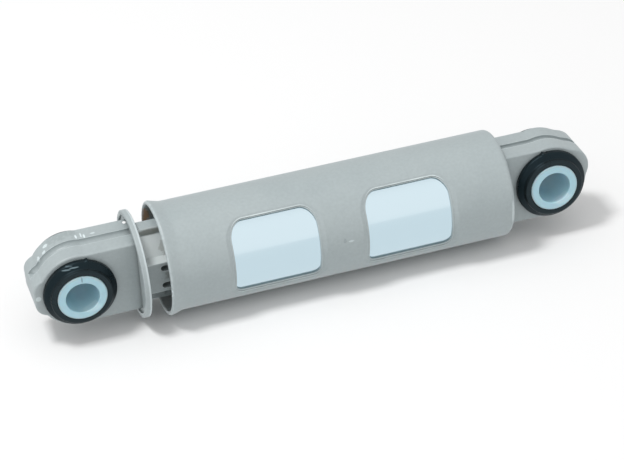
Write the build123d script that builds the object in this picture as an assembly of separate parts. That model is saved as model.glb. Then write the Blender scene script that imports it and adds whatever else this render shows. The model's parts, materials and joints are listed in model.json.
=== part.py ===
from build123d import *
import os
from math import hypot, radians, sin

# A friction damper for a front-loading washing machine, in millimetres.
# X runs along the tube, from the rod's eye (low X) to the housing's eye (high X).
# Y is along the eye bores, with the windows of the housing facing low Y and high Y. Z is up.
# The origin is the centre of the housing's eye bore.

# Tube of the housing
TUBE_OD = 40.0
TUBE_LENGTH = 130.7
TUBE_WALL = 1.5
END_WALL = 3.2
SHOULDER_ROUND = 1.6
LIP_FLARE = 1.4
LIP_LENGTH = 5.0
LIP_THICKNESS = 1.8
LIP_ROUND = 1.0

# Windows in the housing's wall, cut straight through from the front to the back
WINDOW_ROWS = 2
WINDOW_LENGTH = 31.8
WINDOW_TOP_ANGLE = 48.4
WINDOW_BOTTOM_ANGLE = 33.9
WINDOW_TOP_CORNER = 5.4
WINDOW_BOTTOM_CORNER = 3.2
WINDOW_PITCH = 50.2
WINDOW_SETBACK = 40.25
BORDER_FLOOR = 0.8
BORDER_DEPTH = 0.7
BORDER_STEP = 0.1
BORDER_SLOPE = 1.4
OPENING_ROUND = 0.3

# Steel liner inside the housing
LINER_WALL = 0.6
LINER_PRESS = 0.05
LINER_SETBACK = 6.0
LINER_END_GAP = 0.6

# Sleeves, and the rubber bushes round them
SLEEVE_BORE = 12.2
SLEEVE_WALL = 2.9
SLEEVE_REACH = 5.0
SLEEVE_EDGE_ROUND = 0.35
SLEEVE_FIT = 0.05
BUSH_WALL = 2.4
BUSH_PRESS = 0.1
BUSH_LIP_REACH = 1.9
BUSH_LIP_HEIGHT = 2.0
BUSH_LIP_ROUND = 0.5
BUSH_CONE_RISE = 1.1
BUSH_RING_WIDTH = 2.1
BUSH_RING_SETBACK = 0.4
BUSH_RING_ROUND = 0.6

# Eyes and necks of both mouldings
EYE_WIDTH = 16.6
EYE_EDGE_ROUND = 0.7
GROOVE_DEPTH = 1.75
GROOVE_FLAT = 0.4
HOUSING_EYE_WALL = 3.2
HOUSING_NECK_STEP = 0.5
HOUSING_NECK_LENGTH = 3.3
HOUSING_GROOVE = 2.8
HOUSING_LUG_REACH = 2.0
HOUSING_LUG_HEIGHT = 16.0
HOUSING_LUG_ROUND = 7.8
HOUSING_LUG_ROOT = 12.0
HOUSING_LUG_TURN = 25.6
HOUSING_LUG_WEB = 3.0
ROD_EYE_WALL = 3.4
ROD_NECK_STEP = 0.4
ROD_NECK_LENGTH = 6.3
ROD_GROOVE = 3.8
ROD_LUG_REACH = 1.4
ROD_LUG_HEIGHT = 15.8
ROD_LUG_ROUND = 5.0
ROD_LUG_ROOT = 1.5
ROD_LUG_TURN = 1.7
ROD_LUG_WEB = 10.0

# Rod: stop disc, ribbed shank and the carrier of the friction pad
DISC_SETBACK = 0.2
DISC_THICKNESS = 2.3
DISC_RIM_WIDTH = 1.7
DISC_RIM_HEIGHT = 0.8
DISC_ROUND = 0.4
VENT_OD = 1.7
VENT_LENGTH = 8.0
SHANK_RIB_THICKNESS = 5.0
SHANK_RIB_CLEARANCE = 1.9
SHANK_RIB_RISE = 3.1
SHANK_RIB_ROUND = 0.6
SHANK_CORE_WIDTH = 14.6
SHANK_BLOCK_WIDTH = 23.4
SHANK_BLOCK_HEIGHT = 12.4
SHANK_SLOT_HEIGHT = 2.4
SHANK_SLOT_RISE = 3.7
SHANK_SLOT_DEPTH = 8.0
SHANK_SLOT_SETBACK = 5.8
END_GAP = 1.5
FLANGE_THICKNESS = 3.0
FLANGE_CLEARANCE = 0.5
PAD_LENGTH = 25.0
PAD_THICKNESS = 5.4
PAD_FIT = 0.05
PAD_END_GAP = 0.3

# How the two halves lie at rest: pulled out from the closed length, and turned about X
REST_OPEN = 7.1
ROD_TURN = 4.94

# How near two measures must be to count as one, and how far a cutter runs past what it cuts
TOUCH = 0.01
OVERCUT = 1.0

sleeve_r = SLEEVE_BORE / 2 + SLEEVE_WALL
sleeve_end = EYE_WIDTH / 2 + SLEEVE_REACH
eye_bore_r = sleeve_r + BUSH_WALL
housing_eye_r = eye_bore_r + HOUSING_EYE_WALL
housing_neck_reach = housing_eye_r + HOUSING_NECK_LENGTH
rod_eye_r = eye_bore_r + ROD_EYE_WALL
rod_neck_reach = rod_eye_r + ROD_NECK_LENGTH
tube_r = TUBE_OD / 2
tube_bore_r = tube_r - TUBE_WALL
liner_r = tube_bore_r + LINER_PRESS
liner_bore_r = tube_bore_r - LINER_WALL
lip_r = tube_r + LIP_FLARE
mouth_r = lip_r - LIP_THICKNESS
end_x = -housing_neck_reach
mouth_x = end_x - TUBE_LENGTH
floor_x = end_x - END_WALL
closed_length = rod_neck_reach + DISC_THICKNESS + TUBE_LENGTH + housing_neck_reach
rod_eye_x = -(closed_length + REST_OPEN)
shank_start = rod_neck_reach + DISC_THICKNESS
rod_end = shank_start + TUBE_LENGTH - END_WALL - END_GAP
pad_core_r = liner_bore_r - PAD_THICKNESS
window_top = tube_r * sin(radians(WINDOW_TOP_ANGLE))
window_bottom = -tube_r * sin(radians(WINDOW_BOTTOM_ANGLE))


def round_corner(face, corner, radius):
    """Round one corner of a flat face, the one nearest to a point given in its own plane."""
    nearest = face.vertices().sort_by(lambda v: (v.X - corner[0]) ** 2 + (v.Y - corner[1]) ** 2)[0]
    return fillet(nearest, radius)


def turned(points, rounds=()):
    """Turn a closed outline of (x, radius) points about X, some corners rounded first."""
    face = make_face(Polyline(*points, close=True))
    for corner, radius in rounds:
        face = round_corner(face, corner, radius)
    return revolve(face, Axis.X)


def turned_about_y(points, rounds=()):
    """Turn a closed outline of (radius, y) points about Y, some corners rounded first."""
    face = make_face(Polyline(*points, close=True))
    for corner, radius in rounds:
        face = round_corner(face, corner, radius)
    return revolve(face, Axis.Y)


def side_prism(sketch, half_width):
    """A sketch of the side view (x across, z up), made a solid that is even about Y = 0."""
    return extrude(Plane.XZ * sketch, half_width, both=True)


def along(edges, outline):
    """Those of the edges that run along the border of an outline in the side view."""
    border = outline.face().outer_wire()
    return edges.filter_by(lambda edge: border.distance_to(Vector((edge @ 0.5).X, (edge @ 0.5).Z)) < TOUCH)


def neck_outline(reach, height):
    """The straight neck from the eye's centre to where it meets the tube or the disc."""
    return Pos(reach / 2, 0) * Rectangle(reach, height)


def lug_outline(nose, height, corner):
    """The block at the tip of an eye, from the eye's centre to its nose at low X, with round corners."""
    block = Pos(-nose / 2, 0) * Rectangle(nose, height)
    return fillet(block.vertices().group_by(Axis.X)[0], corner)


def eye_solid(eye_r, neck_reach, neck_step, lug, inset=0):
    """An eye with its lug and its neck, as one prism along Y, or the same drawn in by an inset."""
    reach, height, corner, root, turn = lug
    block = lug_outline(eye_r + reach - inset, height - 2 * inset, corner - inset)
    outline = Circle(eye_r - inset) + Rot(0, 0, turn) * block
    outline += neck_outline(neck_reach, 2 * (eye_r - neck_step - inset))
    solid = side_prism(outline, EYE_WIDTH / 2)
    uprights = solid.edges().filter_by(Axis.Y).filter_by(lambda edge: edge.center().X < -eye_r / 2)
    roots = uprights.filter_by(lambda edge: abs(hypot(edge.center().X, edge.center().Z) - eye_r + inset) < TOUCH)
    return fillet(roots, root + inset)


def eye_head(eye_r, neck_reach, neck_step, groove_width, web_width, lug):
    """An eye at the origin, bore along Y, its neck towards high X, with a groove that its lug closes."""
    head = eye_solid(eye_r, neck_reach, neck_step, lug)
    rims = head.edges().group_by(Axis.Y)[0] + head.edges().group_by(Axis.Y)[-1]
    neck_end = rims.filter_by(Axis.Z).sort_by(Axis.X)[-2:]
    head = fillet([edge for edge in rims if edge not in neck_end], EYE_EDGE_ROUND)
    around_r = eye_r + lug[0] + OVERCUT
    around = Circle(around_r) + neck_outline(neck_reach, 2 * (eye_r + OVERCUT))
    web = Rot(0, 0, lug[-1]) * Pos(-around_r / 2, 0) * Rectangle(around_r, web_width)
    groove = side_prism(around - web, groove_width / 2)
    groove -= eye_solid(eye_r, neck_reach, neck_step, lug, GROOVE_DEPTH)
    borders = [*along(groove.edges(), around), *along(groove.edges(), web), *groove.edges().filter_by(Axis.Y)]
    floor_edges = [edge for edge in groove.edges() if edge not in borders]
    groove = fillet(floor_edges, (groove_width - GROOVE_FLAT) / 2)
    bore = Rot(90, 0, 0) * Cylinder(eye_bore_r, EYE_WIDTH + 2 * OVERCUT)
    return head - groove - bore


def window_outline(margin):
    """A window seen from the side, grown all round by a margin, with rounder corners at its top."""
    outline = Rectangle(WINDOW_LENGTH + 2 * margin, window_top - window_bottom + 2 * margin)
    bottom, top = outline.vertices().group_by(Axis.Y)
    outline = fillet(top, WINDOW_TOP_CORNER + margin)
    bottom = outline.vertices().group_by(Axis.Y)[0]
    return fillet(bottom, WINDOW_BOTTOM_CORNER + margin)


def window_outlines(margin):
    """Both windows where they lie in the side view, grown all round by a margin."""
    centres = [end_x - WINDOW_SETBACK - number * WINDOW_PITCH for number in range(WINDOW_ROWS)]
    return [Pos(centre, (window_top + window_bottom) / 2) * window_outline(margin) for centre in centres]


def wall_skin(depth):
    """A layer of space from a depth inside the tube's wall outwards, along the whole tube."""
    reach = 2 * (TUBE_LENGTH + housing_neck_reach + OVERCUT)
    return Rot(0, 90, 0) * (Cylinder(TUBE_OD, reach) - Cylinder(tube_r - depth, reach))


def rims(shell, radius, margin):
    """The edges at a radius from the tube's axis that lie on the windows' outline, grown by a margin."""
    edges = shell.edges().filter_by(lambda edge: abs(hypot((edge @ 0.5).Y, (edge @ 0.5).Z) - radius) < TOUCH)
    return [edge for outline in window_outlines(margin) for edge in along(edges, outline)]


def housing():
    """The moulded tube, closed at one end by its eye head and open at the flared mouth."""
    shell = turned(
        [
            (end_x, 0), (end_x, tube_r), (mouth_x + LIP_LENGTH, tube_r), (mouth_x, lip_r),
            (mouth_x, mouth_r), (mouth_x + LIP_LENGTH, tube_bore_r), (floor_x, tube_bore_r), (floor_x, 0),
        ],
        [
            ((end_x, tube_r), SHOULDER_ROUND), ((mouth_x + LIP_LENGTH, tube_r), LIP_LENGTH),
            ((mouth_x, lip_r), LIP_ROUND), ((mouth_x, mouth_r), LIP_ROUND / 2),
            ((floor_x, tube_bore_r), LINER_END_GAP),
        ],
    )
    skin = wall_skin(BORDER_DEPTH)
    for outline in window_outlines(BORDER_FLOOR):
        shell -= side_prism(outline, TUBE_OD) & skin
    round_faces = shell.faces().filter_by(GeomType.CYLINDER)
    outside = round_faces.filter_by(lambda face: abs(face.radius - tube_r) < TOUCH).sort_by(SortBy.AREA)[-1]
    fall = BORDER_DEPTH - BORDER_STEP
    shell = chamfer(rims(shell, tube_r, BORDER_FLOOR), BORDER_SLOPE, fall, reference=outside)
    for outline in window_outlines(0):
        shell -= side_prism(outline, TUBE_OD)
    shell = fillet(rims(shell, tube_r - BORDER_DEPTH, 0), OPENING_ROUND)
    lug = (HOUSING_LUG_REACH, HOUSING_LUG_HEIGHT, HOUSING_LUG_ROUND, HOUSING_LUG_ROOT, -HOUSING_LUG_TURN)
    reach = housing_neck_reach + END_WALL / 2
    head = eye_head(housing_eye_r, reach, HOUSING_NECK_STEP, HOUSING_GROOVE, HOUSING_LUG_WEB, lug)
    return shell + Rot(0, 0, 180) * head


def liner_tube():
    """The plated steel tube pressed into the housing, which shows in the windows."""
    start = mouth_x + LINER_SETBACK
    end = floor_x - LINER_END_GAP
    return turned([(start, liner_bore_r), (start, liner_r), (end, liner_r), (end, liner_bore_r)])


def shank_outline():
    """Half-section points of the shank, front and back alike: rib, slope, ledge and flat side."""
    rib = SHANK_RIB_THICKNESS / 2
    rib_top = liner_bore_r - SHANK_RIB_CLEARANCE
    slope_top = rib_top - SHANK_RIB_RISE
    core = SHANK_CORE_WIDTH / 2
    side = SHANK_BLOCK_WIDTH / 2
    top = [
        (-side, SHANK_BLOCK_HEIGHT / 2), (-core, SHANK_BLOCK_HEIGHT / 2), (-rib, slope_top),
        (-rib, rib_top), (rib, rib_top), (rib, slope_top),
        (core, SHANK_BLOCK_HEIGHT / 2), (side, SHANK_BLOCK_HEIGHT / 2),
    ]
    bottom = [(y, -z) for y, z in reversed(top)]
    outline = make_face(Polyline(*top, *bottom, close=True))
    for y in (-rib, rib):
        for z in (-rib_top, rib_top):
            outline = round_corner(outline, (y, z), SHANK_RIB_ROUND)
    return outline


def stop_disc():
    """The round disc that meets the mouth when the damper is shut, with a raised rim on its eye side."""
    front = rod_neck_reach
    back = front + DISC_THICKNESS
    disc_r = tube_r - DISC_SETBACK
    return turned(
        [
            (front + DISC_RIM_HEIGHT, 0), (front + DISC_RIM_HEIGHT, disc_r - DISC_RIM_WIDTH),
            (front, disc_r - DISC_RIM_WIDTH), (front, disc_r), (back, disc_r), (back, 0),
        ],
        [
            ((front, disc_r), DISC_ROUND), ((back, disc_r), DISC_ROUND),
            ((front, disc_r - DISC_RIM_WIDTH), DISC_ROUND / 2),
        ],
    )


def shank():
    """The ribbed bar from the disc to the pad carrier, with two slots in each flat side."""
    length = rod_end - shank_start - 2 * FLANGE_THICKNESS - PAD_LENGTH - 2 * PAD_END_GAP
    bar = extrude(Pos(shank_start, 0, 0) * (Plane.YZ * shank_outline()), length)
    slot_start = shank_start + SHANK_SLOT_SETBACK
    slot_length = length - 2 * SHANK_SLOT_SETBACK
    for rise in (-SHANK_SLOT_RISE, SHANK_SLOT_RISE):
        for side in (-1, 1):
            outline = Pos(slot_start + slot_length / 2, rise) * SlotOverall(slot_length, SHANK_SLOT_HEIGHT)
            pocket = side_prism(outline, SHANK_SLOT_DEPTH)
            bar -= Pos(0, side * SHANK_BLOCK_WIDTH / 2, 0) * pocket
    return bar


def pad_carrier():
    """The reel at the inner end of the rod: a core between two flanges that holds the pad."""
    flange_r = liner_bore_r - FLANGE_CLEARANCE
    inner = rod_end - FLANGE_THICKNESS
    outer = inner - PAD_LENGTH - 2 * PAD_END_GAP
    return turned(
        [
            (outer - FLANGE_THICKNESS, 0), (outer - FLANGE_THICKNESS, flange_r), (outer, flange_r),
            (outer, pad_core_r), (inner, pad_core_r), (inner, flange_r), (rod_end, flange_r), (rod_end, 0),
        ],
        [
            ((outer - FLANGE_THICKNESS, flange_r), DISC_ROUND), ((rod_end, flange_r), DISC_ROUND),
        ],
    )


def at_rest(solid):
    """Move a solid that is made about the rod's eye to where the rod lies at rest."""
    return Pos(rod_eye_x, 0, 0) * Rot(ROD_TURN, 0, 0) * solid


def rod():
    """The moulded rod in one piece: eye head, stop disc, shank and pad carrier."""
    lug = (ROD_LUG_REACH, ROD_LUG_HEIGHT, ROD_LUG_ROUND, ROD_LUG_ROOT, ROD_LUG_TURN)
    reach = rod_neck_reach + DISC_THICKNESS / 2
    head = eye_head(rod_eye_r, reach, ROD_NECK_STEP, ROD_GROOVE, ROD_LUG_WEB, lug)
    vent_z = rod_eye_r - ROD_NECK_STEP + VENT_OD / 2
    vent = Rot(0, 90, 0) * Cylinder(VENT_OD / 2, VENT_LENGTH)
    vent = Pos(rod_neck_reach, EYE_WIDTH / 2 - VENT_OD, vent_z) * vent
    body = head + stop_disc() + shank() + pad_carrier()
    return at_rest(body - vent)


def friction_pad():
    """The ring of greased foam between the flanges, which rubs on the liner."""
    inner = rod_end - FLANGE_THICKNESS - PAD_END_GAP
    outer = inner - PAD_LENGTH
    low_r = pad_core_r + PAD_FIT
    high_r = liner_bore_r - PAD_FIT
    return at_rest(turned([(outer, low_r), (outer, high_r), (inner, high_r), (inner, low_r)]))


def bush():
    """A rubber bush about the origin, axis along Y: a lip on each face of the eye, a cone and a ring."""
    inner_r = sleeve_r + SLEEVE_FIT
    waist_r = eye_bore_r + BUSH_PRESS
    lip_r_outer = eye_bore_r + BUSH_LIP_REACH
    ring_r = inner_r + BUSH_RING_WIDTH
    face = EYE_WIDTH / 2
    shoulder = face + BUSH_LIP_HEIGHT
    cone = shoulder + BUSH_CONE_RISE
    crown = sleeve_end - BUSH_RING_SETBACK
    half = [
        (inner_r, crown), (ring_r, crown), (ring_r, cone), (lip_r_outer, shoulder), (lip_r_outer, face),
        (waist_r, face),
    ]
    points = half + [(r, -y) for r, y in reversed(half)]
    rounds = [((ring_r, side * crown), BUSH_RING_ROUND) for side in (-1, 1)]
    rounds += [((ring_r, side * cone), BUSH_RING_ROUND) for side in (-1, 1)]
    rounds += [((lip_r_outer, side * shoulder), BUSH_LIP_ROUND) for side in (-1, 1)]
    return turned_about_y(points, rounds)


def sleeve():
    """A plastic sleeve about the origin, axis along Y, for the pin of the machine."""
    bore_r = SLEEVE_BORE / 2
    points = [(bore_r, -sleeve_end), (sleeve_r, -sleeve_end), (sleeve_r, sleeve_end), (bore_r, sleeve_end)]
    return turned_about_y(points, [(corner, SLEEVE_EDGE_ROUND) for corner in points])


def main():
    nodes = {
        "housing": housing(),
        "liner_tube": liner_tube(),
        "rod": rod(),
        "friction_pad": friction_pad(),
        "rod_bush": at_rest(bush()),
        "housing_bush": bush(),
        "rod_sleeve": at_rest(sleeve()),
        "housing_sleeve": sleeve(),
    }
    os.makedirs("parts", exist_ok=True)
    for name, shape in nodes.items():
        export_step(shape, f"parts/{name}.step")


main()
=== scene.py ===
"""Looks of a washing machine damper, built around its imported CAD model. Lengths are in metres."""
import json
from math import atan2, degrees, hypot, radians

import bmesh
import bpy
from mathutils import Matrix, Vector, noise


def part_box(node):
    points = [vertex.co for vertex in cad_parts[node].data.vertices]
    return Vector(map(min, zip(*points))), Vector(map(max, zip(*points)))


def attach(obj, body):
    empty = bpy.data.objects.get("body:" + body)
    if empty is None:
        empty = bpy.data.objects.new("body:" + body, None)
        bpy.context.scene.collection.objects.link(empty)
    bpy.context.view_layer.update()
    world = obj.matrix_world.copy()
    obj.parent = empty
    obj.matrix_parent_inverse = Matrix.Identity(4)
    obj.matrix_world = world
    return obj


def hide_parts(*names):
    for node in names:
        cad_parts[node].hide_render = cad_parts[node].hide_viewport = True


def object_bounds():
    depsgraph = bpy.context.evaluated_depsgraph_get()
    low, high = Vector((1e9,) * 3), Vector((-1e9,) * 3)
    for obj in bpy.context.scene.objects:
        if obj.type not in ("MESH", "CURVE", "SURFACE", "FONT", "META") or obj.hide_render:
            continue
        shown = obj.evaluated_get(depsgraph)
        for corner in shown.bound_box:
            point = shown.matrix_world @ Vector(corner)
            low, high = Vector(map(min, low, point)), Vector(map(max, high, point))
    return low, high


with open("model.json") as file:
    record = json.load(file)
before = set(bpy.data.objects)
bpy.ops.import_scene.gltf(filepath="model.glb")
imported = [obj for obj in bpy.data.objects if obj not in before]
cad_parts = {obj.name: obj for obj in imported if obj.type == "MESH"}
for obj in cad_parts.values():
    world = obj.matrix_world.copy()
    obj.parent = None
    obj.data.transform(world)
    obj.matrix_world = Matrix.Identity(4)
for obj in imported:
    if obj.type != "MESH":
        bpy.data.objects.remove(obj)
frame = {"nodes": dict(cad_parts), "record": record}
cad_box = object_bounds()
nodes = frame["nodes"]
MM = 0.001


# Nodes

def linear(hex_colour):
    """An sRGB hex colour as the linear red, green, blue and alpha that Blender works in."""
    channels = [int(hex_colour[i:i + 2], 16) / 255 for i in (1, 3, 5)]
    return [c / 12.92 if c <= 0.04045 else ((c + 0.055) / 1.055) ** 2.4 for c in channels] + [1.0]


def add(tree, kind, links=None, **settings):
    """Add a node: settings named for its own properties, links by input name to a value or a socket."""
    made = tree.nodes.new(kind)
    for name, value in settings.items():
        setattr(made, name, value)
    for name, value in (links or {}).items():
        socket = made.inputs[name]
        if isinstance(value, bpy.types.NodeSocket):
            tree.links.new(value, socket)
        else:
            socket.default_value = value
    return made


def new_material(name):
    """An empty material and the tree to fill."""
    material = bpy.data.materials.new(name)
    material.use_nodes = True
    material.node_tree.nodes.clear()
    return material, material.node_tree


def on_object(tree):
    """The place on the object that patterns read."""
    return add(tree, "ShaderNodeTexCoord").outputs["Object"]


def surface(tree, links):
    """End a material's tree in one shader."""
    shader = add(tree, "ShaderNodeBsdfPrincipled", links)
    add(tree, "ShaderNodeOutputMaterial", {"Surface": shader.outputs["BSDF"]})


def per_mm(size):
    """The scale of a pattern whose spots are about this many millimetres, on Object coordinates in metres."""
    return 1 / (size * MM)


def spots(tree, where, size, detail):
    """A cloudy noise from 0 to 1, with spots of about this many millimetres."""
    links = {"Vector": where, "Scale": per_mm(size), "Detail": detail}
    return add(tree, "ShaderNodeTexNoise", links).outputs["Fac"]


def ramp(tree, value, start, end, low, high, **settings):
    """A value carried over from start and end to low and high, and held there beyond them."""
    links = {"Value": value, "From Min": start, "From Max": end, "To Min": low, "To Max": high}
    return add(tree, "ShaderNodeMapRange", links, **settings).outputs["Result"]


def blend(tree, amount, under, over, **settings):
    """One colour laid over another by an amount from 0 to 1."""
    links = {"Factor": amount, "A": under, "B": over}
    return add(tree, "ShaderNodeMix", links, data_type="RGBA", **settings).outputs["Result"]


def product(tree, one, other):
    """Two numbers multiplied."""
    return add(tree, "ShaderNodeMath", {0: one, 1: other}, operation="MULTIPLY").outputs["Value"]


def vector(tree, one, other, operation):
    """Two vectors put together by one operation."""
    return add(tree, "ShaderNodeVectorMath", {0: one, 1: other}, operation=operation).outputs["Vector"]


def length(tree, one):
    """How long a vector is."""
    return add(tree, "ShaderNodeVectorMath", {0: one}, operation="LENGTH").outputs["Value"]


def bumped(tree, height, strength, depth):
    """A surface roughened by a height, to a depth in millimetres."""
    links = {"Height": height, "Strength": strength, "Distance": depth * MM}
    return add(tree, "ShaderNodeBump", links).outputs["Normal"]


# Wear

MARK_GRAIN = 1.2
MARK_FADE = 0.35


def patch(tree, where, place, half_sizes, ragged):
    """A spot that is 1 at its middle and 0 outside, with a ragged edge: place and half sizes in mm."""
    moved = vector(tree, where, [c * MM for c in place], "SUBTRACT")
    far = length(tree, vector(tree, moved, [c * MM for c in half_sizes], "DIVIDE"))
    torn = add(tree, "ShaderNodeMath", {
        0: spots(tree, where, MARK_GRAIN, 4.0), 1: ragged, 2: far,
    }, operation="MULTIPLY_ADD").outputs["Value"]
    edge = 1 + ragged / 2
    return ramp(tree, torn, edge - MARK_FADE, edge, 1.0, 0.0, interpolation_type="SMOOTHSTEP")


def marked(tree, where, colour, marks, kept=None):
    """A colour with marks laid over it, each given as place, half sizes, raggedness, hex colour and strength.
    They are kept whole, or as far as a socket says."""
    for place, half_sizes, ragged, hex_colour, strength in marks:
        amount = product(tree, patch(tree, where, place, half_sizes, ragged), strength)
        if kept is not None:
            amount = product(tree, amount, kept)
        colour = blend(tree, amount, colour, linear(hex_colour))
    return colour


TUBE_FADE = 0.2
EDGE_REACH = 0.5
HOLLOW_REACH = 3
CORNER_SAMPLES = 8


def within_tube(tree, where, radius):
    """1 nearer to the tube's axis than a radius in mm, and 0 outside it."""
    far = length(tree, vector(tree, where, (0, 1, 1), "MULTIPLY"))
    return ramp(tree, far, (radius - TUBE_FADE) * MM, radius * MM, 1.0, 0.0)


def openness(tree, reach, **settings):
    """1 on a moulding's open faces, and less beside its own corners within a reach in mm."""
    corners = add(
        tree, "ShaderNodeAmbientOcclusion", {"Distance": reach * MM}, only_local=True, samples=CORNER_SAMPLES,
        **settings,
    )
    return corners.outputs["AO"]


def worn_and_highlit_edges(tree, where):
    """1 on a moulding's outer edges, here and there, and 0 on its faces: rubbed wear and a painted edge highlight.
    """
    edge = ramp(tree, openness(tree, EDGE_REACH, inside=True), 0.55, 0.8, 1.0, 0.0)
    return product(tree, edge, ramp(tree, spots(tree, where, 7, 4.0), 0.3, 0.6, 0.35, 1.0))


def dust_and_shade_in_hollows(tree, most):
    """How dark a moulding's slots and corners are: dust and grease, and painted shade, the most deep in them and 0
    on its open faces.
    """
    return ramp(tree, openness(tree, HOLLOW_REACH), 0.1, 0.75, most, 0.0)


# Where the shank's web is pale: clean plastic, and painted light on the front of its upper half
CLEAN_AND_LIT_ABOVE = 4.9
CLEAN_AND_LIT_BEFORE = -3.7


def clean_and_lit_web(tree, where, start):
    """1 on the front of the shank's upper half, past a start in mm along X, and 0 elsewhere."""
    place = add(tree, "ShaderNodeSeparateXYZ", {"Vector": where}).outputs
    past = ramp(tree, place["X"], start * MM, (start + 0.3) * MM, 0.0, 1.0)
    above = ramp(tree, place["Z"], (CLEAN_AND_LIT_ABOVE - 0.2) * MM, (CLEAN_AND_LIT_ABOVE + 0.2) * MM, 0.0, past)
    return ramp(tree, place["Y"], (CLEAN_AND_LIT_BEFORE - 0.1) * MM, (CLEAN_AND_LIT_BEFORE + 0.1) * MM, above, 0.0)


# Materials

# Pale edges: rubbed wear, and a painted edge highlight
EDGE = "#c9d3d4"
# Dark dust and grease, and painted shade, in hollows and inside the tube
GRIME_AND_SHADE = "#363c3a"
# Pale web: clean plastic, and painted light
CLEAN_AND_LIT_WEB = "#c4cbcb"
INSIDE_MARKS_WITHIN = 19.8


def moulded_polypropylene(name, marks, dust_and_shade, stains_and_shade=(), clean_and_lit_from=None):
    """Grey polypropylene, injection moulded: a soft sheen, faint cloudy patches, a fine spark-eroded grain,
    edges rubbed pale with painted edge highlights, and dust with painted shade in its hollows. Stains and
    painted shade stay inside the tube. Past the start given in mm along X, the web's upper front is pale: clean, and
    painted light."""
    material, tree = new_material(name)
    where = on_object(tree)
    clouds = spots(tree, where, 22, 3.0)
    cloudy = blend(tree, clouds, linear("#959fa1"), linear("#9fa8a9"))
    speckle = ramp(tree, spots(tree, where, 1.1, 4.0), 0.3, 0.7, 0.955, 1.035)
    colour = blend(tree, 1.0, cloudy, speckle, blend_type="MULTIPLY")
    # The front of the shank's upper half paler: clean where the tube covers it, and painted light
    if clean_and_lit_from is not None:
        colour = blend(tree, clean_and_lit_web(tree, where, clean_and_lit_from), colour, linear(CLEAN_AND_LIT_WEB))
    # Outer edges paler: rubbed wear, and painted edge highlights
    colour = blend(tree, worn_and_highlit_edges(tree, where), colour, linear(EDGE))
    # Slots and corners darker: dust and grease, and painted shade
    colour = blend(tree, dust_and_shade_in_hollows(tree, dust_and_shade), colour, linear(GRIME_AND_SHADE))
    # Inside the tube: stains, and painted shade
    if stains_and_shade:
        colour = marked(tree, where, colour, stains_and_shade, within_tube(tree, where, INSIDE_MARKS_WITHIN))
    surface(tree, {
        "Base Color": marked(tree, where, colour, marks),
        "Roughness": ramp(tree, clouds, 0.3, 0.7, 0.34, 0.46),
        "Normal": bumped(tree, spots(tree, where, 0.35, 2.0), 0.12, 0.05), "IOR": 1.49,
    })
    return material


def zinc_plated_steel():
    """Drawn steel tube with pale zinc plate: a cool, bright, slightly hazy reflection with fine draw lines."""
    material, tree = new_material("pale_zinc_plated_steel")
    where = on_object(tree)
    along = add(tree, "ShaderNodeMapping", {"Vector": where, "Scale": (0.03, 1.0, 1.0)}).outputs["Vector"]
    surface(tree, {
        "Base Color": linear("#d5e7ef"), "Metallic": 1.0,
        "Roughness": ramp(tree, spots(tree, where, 9, 4.0), 0.3, 0.7, 0.13, 0.2),
        "Normal": bumped(tree, spots(tree, along, 0.5, 3.0), 0.05, 0.02),
    })
    return material


def from_bore(tree, where, eye_x, turn):
    """The distance in metres from the axis of an eye's bore, for patterns that run round it."""
    centred = add(tree, "ShaderNodeMapping", {
        "Vector": where, "Location": (-eye_x * MM, 0, 0), "Rotation": (radians(-turn), 0, 0),
    }).outputs["Vector"]
    return length(tree, vector(tree, centred, (1, 0, 1), "MULTIPLY"))


def moulded_rubber(name, eye_x, turn, marks):
    """Black natural rubber, compression moulded: deep teal black with a low sheen, greyer on its inner ring."""
    material, tree = new_material(name)
    where = on_object(tree)
    bloom = spots(tree, where, 5, 5.0)
    black = blend(tree, bloom, linear("#05090b"), linear("#101a1d"))
    ring = ramp(tree, from_bore(tree, where, eye_x, turn), 10.6 * MM, 11.4 * MM, 0.55, 0.0)
    colour = blend(tree, ring, black, linear("#2a2f30"))
    surface(tree, {
        "Base Color": marked(tree, where, colour, marks),
        "Roughness": ramp(tree, bloom, 0.35, 0.65, 0.26, 0.5),
        "IOR": 1.52, "Specular IOR Level": 0.25, "Specular Tint": linear("#c4ecff"),
        "Normal": bumped(tree, spots(tree, where, 0.4, 2.0), 0.2, 0.06),
    })
    return material


def acetal(name, eye_x, turn, marks):
    """White acetal, injection moulded: a cool waxy white with a soft gloss, and painted shade round its outer edge.
    """
    material, tree = new_material(name)
    where = on_object(tree)
    clean = blend(tree, spots(tree, where, 3, 4.0), linear("#9cc0cc"), linear("#a9ccd7"))
    # Painted shade on the rounded outer edge
    rim_shade = ramp(tree, from_bore(tree, where, eye_x, turn), 8.3 * MM, 8.7 * MM, 0.0, 0.6)
    colour = blend(tree, rim_shade, clean, linear("#9aacaf"))
    surface(tree, {
        "Base Color": marked(tree, where, colour, marks), "Roughness": 0.34, "IOR": 1.48,
        "Normal": bumped(tree, spots(tree, where, 0.3, 2.0), 0.06, 0.04),
        "Subsurface Weight": 0.15, "Subsurface Scale": 0.6 * MM,
    })
    return material


def greased_foam():
    """Open polyurethane foam soaked in amber grease: dark, wet and pitted."""
    material, tree = new_material("greased_open_foam")
    where = on_object(tree)
    cells = add(tree, "ShaderNodeTexVoronoi", {"Vector": where, "Scale": per_mm(0.9)}).outputs["Distance"]
    surface(tree, {
        "Base Color": blend(tree, spots(tree, where, 6, 3.0), linear("#4a3415"), linear("#8a6a34")),
        "Roughness": 0.35, "IOR": 1.47, "Normal": bumped(tree, cells, 0.8, 0.3),
    })
    return material


# Where both eyes lie: the middle of each bore along X in mm, and its turn about X in degrees
HOUSING_EYE_X = 0.0
HOUSING_TURN = 0.0
ROD_EYE_X = frame["record"]["mounts"][1]["pos_m"][0] / MM
ROD_TURN = 4.94
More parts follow.
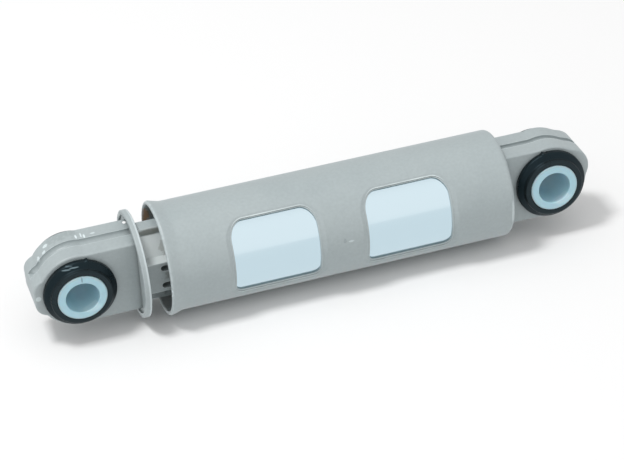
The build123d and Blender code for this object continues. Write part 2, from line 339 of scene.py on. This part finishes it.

# Marks, as place, half sizes (mm), raggedness, colour and strength
# Pale: scuffs, and painted highlights
SCUFF_AND_HIGHLIGHT = "#dde9eb"
GREASE = "#b07a42"
# Black: a grease line, and painted shade
GREASE_AND_SHADE_BLACK = "#262b29"
# Brown: dust, and painted shade
DUST_AND_SHADE = "#5f5e50"
RUB = "#6e7879"
# Painted light in the bores
BORE_HIGHLIGHT = "#e6f4f8"
# Grey of painted highlights on the rubber
RUBBER_HIGHLIGHT = "#75868c"
ROD_MARKS = [
    # Scuffs on the neck's top and round the end of the eye, with a dull rub between them
    ((-176.2, 2.4, 14.7), (0.45, 1.4, 0.6), 0.6, SCUFF_AND_HIGHLIGHT, 0.7),
    ((-174.3, 2.8, 14.7), (0.35, 1.7, 0.6), 0.6, SCUFF_AND_HIGHLIGHT, 0.6),
    ((-173.3, 1.9, 14.6), (0.45, 1.4, 0.6), 0.6, SCUFF_AND_HIGHLIGHT, 0.65),
    ((-170.1, 2.6, 14.7), (1.2, 0.6, 0.6), 1.2, SCUFF_AND_HIGHLIGHT, 0.4),
    ((-187.2, 4.0, 12.8), (1.2, 1.0, 1.2), 1.6, SCUFF_AND_HIGHLIGHT, 0.6),
    ((-188.3, 1.7, 11.8), (0.9, 1.0, 1.2), 1.6, SCUFF_AND_HIGHLIGHT, 0.5),
    ((-190.5, 1.9, 9.4), (0.6, 1.4, 1.2), 1.4, SCUFF_AND_HIGHLIGHT, 0.5),
    ((-181.0, 5.0, 14.0), (7.0, 3.0, 2.0), 2.4, RUB, 0.25),
    ((-194.0, -8.3, -0.7), (1.2, 1.0, 1.2), 0.4, SCUFF_AND_HIGHLIGHT, 0.5),
    # A painted highlight at the disc's foot, a painted highlight along the disc's edge, and painted light on two
    # shaded places beside its rim
    ((-157.9, 4.7, 14.8), (0.75, 0.9, 0.7), 0.5, "#ffffff", 0.9),
    ((-156.1, 0.0, 0.0), (0.5, 50.0, 50.0), 0.9, SCUFF_AND_HIGHLIGHT, 0.35),
    ((-157.5, 12.2, 13.4), (0.8, 3.0, 3.0), 0.3, "#c0c8c8", 0.8),
    ((-157.2, -4.5, -17.5), (1.0, 3.0, 1.5), 0.3, "#b5bdbe", 0.8),
    # On the shank: dirt and painted shade under its upper rib, painted shadow on its web and block, a grease line
    # and painted shade along its lower rib, and a painted highlight on that rib
    ((-150.5, -3.7, 13.8), (6.0, 0.6, 1.5), 0.5, DUST_AND_SHADE, 0.6),
    ((-110.0, -3.7, 13.8), (43.0, 0.6, 1.4), 0.6, DUST_AND_SHADE, 0.45),
    ((-146.2, -6.8, 7.8), (2.4, 2.5, 4.6), 1.6, DUST_AND_SHADE, 0.35),
    ((-144.0, -11.7, -0.7), (6.0, 0.9, 2.8), 2.0, DUST_AND_SHADE, 0.4),
    ((-120.0, -1.3, -13.7), (31.0, 1.0, 2.6), 0.8, GREASE_AND_SHADE_BLACK, 0.5),
    ((-151.5, -0.9, -15.9), (2.6, 0.8, 0.6), 0.5, SCUFF_AND_HIGHLIGHT, 0.6),
]
# Inside the tube: a grease stain at the back of the mouth, and painted shade deeper in at its back and bottom
HOUSING_STAINS_AND_SHADE = [
    ((-148.0, 17.0, 8.3), (2.4, 3.6, 7.0), 0.9, GREASE, 0.85),
    ((-144.0, 14.5, 11.0), (3.8, 5.5, 6.5), 1.0, DUST_AND_SHADE, 0.6),
    ((-146.0, 2.0, -19.2), (4.0, 9.0, 2.5), 0.6, GRIME_AND_SHADE, 0.6),
]
HOUSING_MARKS = [
    # A painted highlight round the mouth's rim, with three pale nicks at its front
    ((-148.3, 0.0, 0.0), (0.75, 26.0, 26.0), 0.4, SCUFF_AND_HIGHLIGHT, 0.35),
    ((-148.6, -20.1, 0.4), (0.4, 0.7, 0.7), 1.2, SCUFF_AND_HIGHLIGHT, 0.7),
    ((-148.6, -20.2, -2.0), (0.4, 0.7, 0.9), 1.4, SCUFF_AND_HIGHLIGHT, 0.7),
    ((-148.6, -19.7, -4.4), (0.4, 0.7, 0.8), 1.2, SCUFF_AND_HIGHLIGHT, 0.7),
    # A pale nick and a dull one between the windows, and a painted highlight on the closed end's edge
    ((-81.1, -19.9, 1.4), (1.1, 1.0, 0.4), 1.6, SCUFF_AND_HIGHLIGHT, 0.35),
    ((-83.6, -19.9, 2.0), (0.6, 1.0, 1.0), 1.4, RUB, 0.3),
    ((-19.0, -19.9, -2.5), (0.5, 2.5, 6.0), 1.1, SCUFF_AND_HIGHLIGHT, 0.35),
]
ROD_BUSH_MARKS = [
    # Painted highlights: streaks of reflected light on the bush's cone and ring
    ((-183.4, -11.6, 10.65), (1.9, 1.2, 0.3), 0.4, RUBBER_HIGHLIGHT, 0.8),
    ((-180.5, -11.8, 11.05), (1.9, 1.2, 0.28), 0.4, RUBBER_HIGHLIGHT, 0.8),
    ((-182.4, -11.4, 11.75), (1.8, 1.2, 0.22), 0.5, "#5b6a70", 0.6),
]
ROD_SLEEVE_MARKS = [
    ((-178.7, -13.9, 6.6), (0.3, 1.0, 1.3), 0.3, "#5b7480", 0.7),
    # Painted light on the lower side of the bore
    ((-176.4, -11.8, -6.0), (5.0, 2.6, 2.4), 0.2, BORE_HIGHLIGHT, 0.22),
]
# Painted light on the lower side of the housing sleeve's bore
HOUSING_SLEEVE_MARKS = [((3.0, -12.4, -5.2), (5.0, 2.6, 2.8), 0.2, BORE_HIGHLIGHT, 0.22)]

finishes = {
    "housing": moulded_polypropylene(
        "moulded_grey_polypropylene_housing", HOUSING_MARKS, dust_and_shade=0.2, stains_and_shade=HOUSING_STAINS_AND_SHADE,
    ),
    "rod": moulded_polypropylene("moulded_grey_polypropylene_rod", ROD_MARKS, dust_and_shade=0.9, clean_and_lit_from=-155.9),
    "liner_tube": zinc_plated_steel(),
    "friction_pad": greased_foam(),
    "housing_bush": moulded_rubber("moulded_black_rubber_housing", HOUSING_EYE_X, HOUSING_TURN, []),
    "rod_bush": moulded_rubber("moulded_black_rubber_rod", ROD_EYE_X, ROD_TURN, ROD_BUSH_MARKS),
    "housing_sleeve": acetal("moulded_white_acetal_housing", HOUSING_EYE_X, HOUSING_TURN, HOUSING_SLEEVE_MARKS),
    "rod_sleeve": acetal("moulded_white_acetal_rod", ROD_EYE_X, ROD_TURN, ROD_SLEEVE_MARKS),
}
for name, finish in finishes.items():
    mesh = nodes[name].data
    mesh.materials.clear()
    mesh.materials.append(finish)


# Soft pieces, modelled anew in place of their plain solids

def new_piece(name, form, node):
    """Make an object of a bmesh, riding with the body of the CAD node that it replaces."""
    bmesh.ops.recalc_face_normals(form, faces=form.faces)
    mesh = bpy.data.meshes.new(name)
    form.to_mesh(mesh)
    form.free()
    mesh.materials.append(finishes[node])
    for polygon in mesh.polygons:
        polygon.use_smooth = True
    piece = bpy.data.objects.new(name, mesh)
    bpy.context.collection.objects.link(piece)
    body = next(body for body, held in frame["record"]["behaviour"]["bodies"].items() if node in held)
    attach(piece, body)
    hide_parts(node)
    return piece


def spun(outline, axis, steps):
    """Spin a closed outline of places in mm about an axis through the origin."""
    form = bmesh.new()
    corners = [form.verts.new([c * MM for c in place]) for place in outline]
    edges = [form.edges.new((corners[i - 1], corners[i])) for i in range(len(corners))]
    bmesh.ops.spin(
        form, geom=corners + edges, cent=(0, 0, 0), axis=axis, angle=radians(360), steps=steps, use_merge=True,
    )
    bmesh.ops.remove_doubles(form, verts=form.verts, dist=0.001 * MM)
    return form


def rounded_edges(form, limit, offset, segments):
    """Round the edges of a form where its faces meet at more than a limit in degrees."""
    sharp = [edge for edge in form.edges if len(edge.link_faces) == 2 and edge.calc_face_angle() > radians(limit)]
    bmesh.ops.bevel(
        form, geom=sharp, affect="EDGES", offset=offset * MM, segments=segments, profile=0.5, material=-1,
    )


BUSH_INNER_R = 9.05
BUSH_WAIST_R = 11.5
BUSH_LIP_R = 13.3
BUSH_RING_R = 11.15
EYE_FACE = 8.3
BUSH_SHOULDER = 10.3
BUSH_CONE = 11.4
BUSH_CROWN = 12.9
BUSH_ROUND = 0.35
BUSH_STEPS = 180
NUB_REACH = 0.7
NUB_SPREAD = 3.5
NUB_BAND = 0.6


def rubber_bush(name, node, nub_angle, place):
    """A rubber bush with a lip, a cone and a raised ring, and a nub of flash at one spot of its front lip."""
    half = [
        (BUSH_INNER_R, BUSH_CROWN), (BUSH_RING_R, BUSH_CROWN), (BUSH_RING_R, BUSH_CONE),
        (BUSH_LIP_R, BUSH_SHOULDER), (BUSH_LIP_R, EYE_FACE), (BUSH_WAIST_R, EYE_FACE),
    ]
    outline = half + [(r, -y) for r, y in reversed(half)]
    form = spun([(r, y, 0) for r, y in outline], (0, 1, 0), BUSH_STEPS)
    rounded_edges(form, limit=25, offset=BUSH_ROUND, segments=3)
    for vert in form.verts:
        r = hypot(vert.co.x, vert.co.z)
        off = abs(degrees(atan2(vert.co.z, vert.co.x)) - nub_angle)
        if vert.co.y < -EYE_FACE * MM and r > (BUSH_LIP_R - NUB_BAND) * MM and off < NUB_SPREAD:
            grown = 1 + NUB_REACH * MM / r * (1 - off / NUB_SPREAD)
            vert.co.x *= grown
            vert.co.z *= grown
    form.transform(place)
    new_piece(name, form, node)


rod_place = Matrix.Translation((ROD_EYE_X * MM, 0, 0)) @ Matrix.Rotation(radians(ROD_TURN), 4, "X")
rubber_bush("rubber_bush_of_housing", "housing_bush", nub_angle=101.8, place=Matrix.Identity(4))
rubber_bush("rubber_bush_of_rod", "rod_bush", nub_angle=74.4, place=rod_place)

PAD_STEPS = 96
PAD_ROWS = 24
PAD_WALL = 5.3
PAD_INSET = 0.1
PAD_CROWN = 0.25
PAD_PITS = 0.22
PAD_PIT_SIZE = 1.6
PAD_SKIN = 2


def foam_pad():
    """The greased foam ring, a little crowned between its flanges and pitted all over."""
    low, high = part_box("friction_pad")
    outer_r = (high[2] - low[2]) / 2 / MM
    core_r = outer_r - PAD_WALL
    middle = (low[0] + high[0]) / 2
    half = (high[0] - low[0]) / 2 / MM
    along_pad = [half * (2 * i / PAD_ROWS - 1) for i in range(PAD_ROWS + 1)]
    skin = [(x, 0, outer_r - PAD_INSET - PAD_CROWN * (x / half) ** 2) for x in along_pad]
    core = [(x, 0, core_r + PAD_INSET) for x in (half, -half)]
    form = spun(skin + core, (1, 0, 0), PAD_STEPS)
    for vert in form.verts:
        r = hypot(vert.co.y, vert.co.z)
        if r > (core_r + PAD_SKIN) * MM:
            pit = noise.noise(vert.co / (PAD_PIT_SIZE * MM)) * 0.5 + 0.5
            shrunk = 1 - PAD_PITS * MM * pit / r
            vert.co.y *= shrunk
            vert.co.z *= shrunk
    bmesh.ops.translate(form, verts=form.verts, vec=(middle, 0, 0))
    piece = new_piece("greased_foam_ring", form, "friction_pad")


foam_pad()


# Floor, light and camera

def floor_material():
    """Matte white studio card."""
    material, tree = new_material("matte_white_card")
    surface(tree, {"Base Color": linear("#e2e2e2"), "Roughness": 0.9, "Specular IOR Level": 0.0})
    return material


FLOOR_HALF = 3.0
floor_form = bmesh.new()
bmesh.ops.create_grid(floor_form, x_segments=1, y_segments=1, size=FLOOR_HALF)
bmesh.ops.translate(floor_form, verts=floor_form.verts, vec=(0, 0, cad_box[0][2]))
floor_mesh = bpy.data.meshes.new("floor")
floor_form.to_mesh(floor_mesh)
floor_form.free()
floor_mesh.materials.append(floor_material())
floor = bpy.data.objects.new("floor", floor_mesh)
bpy.context.collection.objects.link(floor)
floor.visible_glossy = False


def softbox(name, place, target, size, power):
    """A square studio light that looks from a place to a target."""
    data = bpy.data.lights.new(name, "AREA")
    data.size = size
    data.energy = power
    light = bpy.data.objects.new(name, data)
    light.location = place
    light.rotation_euler = (Vector(target) - Vector(place)).to_track_quat("-Z", "Y").to_euler()
    bpy.context.collection.objects.link(light)


softbox("key_light", place=(-0.58, -0.05, 1.3), target=(-0.09, 0, 0), size=0.3, power=10.8)


def studio_world(front, back, below):
    """White walls all round, brighter in front of the object than behind it, and one even, faintly cool
    brightness below the floor's level, which only reflections see, because the floor is hidden from them."""
    world = bpy.data.worlds.new("studio")
    world.use_nodes = True
    tree = world.node_tree
    tree.nodes.clear()
    way = add(tree, "ShaderNodeTexCoord").outputs["Generated"]
    parts = add(tree, "ShaderNodeSeparateXYZ", {"Vector": way}).outputs
    wall = ramp(tree, parts["Y"], -0.5, 0.5, front, back)
    above = ramp(tree, parts["Z"], -0.01, 0.01, 0.0, 1.0)
    strength = add(tree, "ShaderNodeMix", {"Factor": above, "A": below, "B": wall}, data_type="FLOAT")
    light = add(tree, "ShaderNodeBackground", {
        "Color": blend(tree, above, linear("#f8fdff"), linear("#ffffff")), "Strength": strength.outputs["Result"],
    })
    add(tree, "ShaderNodeOutputWorld", {"Surface": light.outputs["Background"]})
    return world


bpy.context.scene.world = studio_world(front=1.02, back=0.66, below=0.91)
bpy.context.scene.view_settings.view_transform = "Standard"

# The camera, as fitted to the photograph: 143 mm lens, about 0.93 m away
SENSOR_WIDTH = 36.0
LENS = 143.14
CAMERA_PLACE = (-0.297313, -0.748733, 0.462626)
CAMERA_TURN = (58.9916, 3.9962, -17.8729)
camera_data = bpy.data.cameras.new("camera")
camera_data.sensor_width = SENSOR_WIDTH
camera_data.lens = LENS
camera = bpy.data.objects.new("camera", camera_data)
camera.location = CAMERA_PLACE
camera.rotation_euler = [radians(turn) for turn in CAMERA_TURN]
bpy.context.collection.objects.link(camera)
bpy.context.scene.camera = camera
